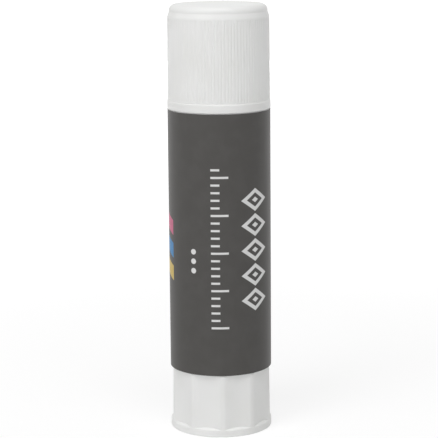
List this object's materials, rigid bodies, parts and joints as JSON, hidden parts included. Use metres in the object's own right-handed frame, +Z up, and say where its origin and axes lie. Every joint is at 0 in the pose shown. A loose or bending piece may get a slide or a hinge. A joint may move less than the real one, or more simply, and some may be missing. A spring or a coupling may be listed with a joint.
{
  "type": "glue stick",
  "caption": "Twist-up glue stick: ribbed snap cap, wrapped barrel, and a fluted knob that turns a lift screw to raise the glue.",
  "frame": {"origin": "middle of the knob's foot rim, on the surface that the stick stands on", "axes": "+Z up the barrel towards the cap, -Y out of the printed front that the picture shows, +X to the right of that view"},
  "size_m": [0.0204, 0.0205, 0.0854],
  "materials": {
    "cap_plastic": "satin white polypropylene",
    "barrel_plastic": "satin white polypropylene",
    "label_film": "satin printed film",
    "knob_plastic": "satin white polypropylene",
    "spindle_plastic": "natural white polypropylene",
    "carrier_plastic": "natural white polypropylene",
    "glue": "waxy white solid adhesive"
  },
  "bodies": {
    "barrel": {"barrel": "barrel_plastic", "label": "label_film"},
    "cap": {"cap": "cap_plastic"},
    "knob": {"knob": "knob_plastic", "spindle": "spindle_plastic"},
    "carrier": {"carrier": "carrier_plastic", "glue_block": "glue"}
  },
  "joints": [
    {"name": "cap_pull", "type": "slide", "parent": "barrel", "child": "cap", "axis": [0, 0, 1], "range_m": [0, 0.03]},
    {"name": "knob_turn", "type": "hinge", "parent": "barrel", "child": "knob", "pos_m": [0, 0, 0], "axis": [0, 0, 1], "range_deg": [0, 1080]},
    {"name": "carrier_lift", "type": "slide", "parent": "barrel", "child": "carrier", "axis": [0, 0, 1], "range_m": [0, 0.0096]}
  ],
  "couplings": [
    {"joint": "knob_turn", "follows": "carrier_lift", "rad_per_m": 1963.5}
  ]
}
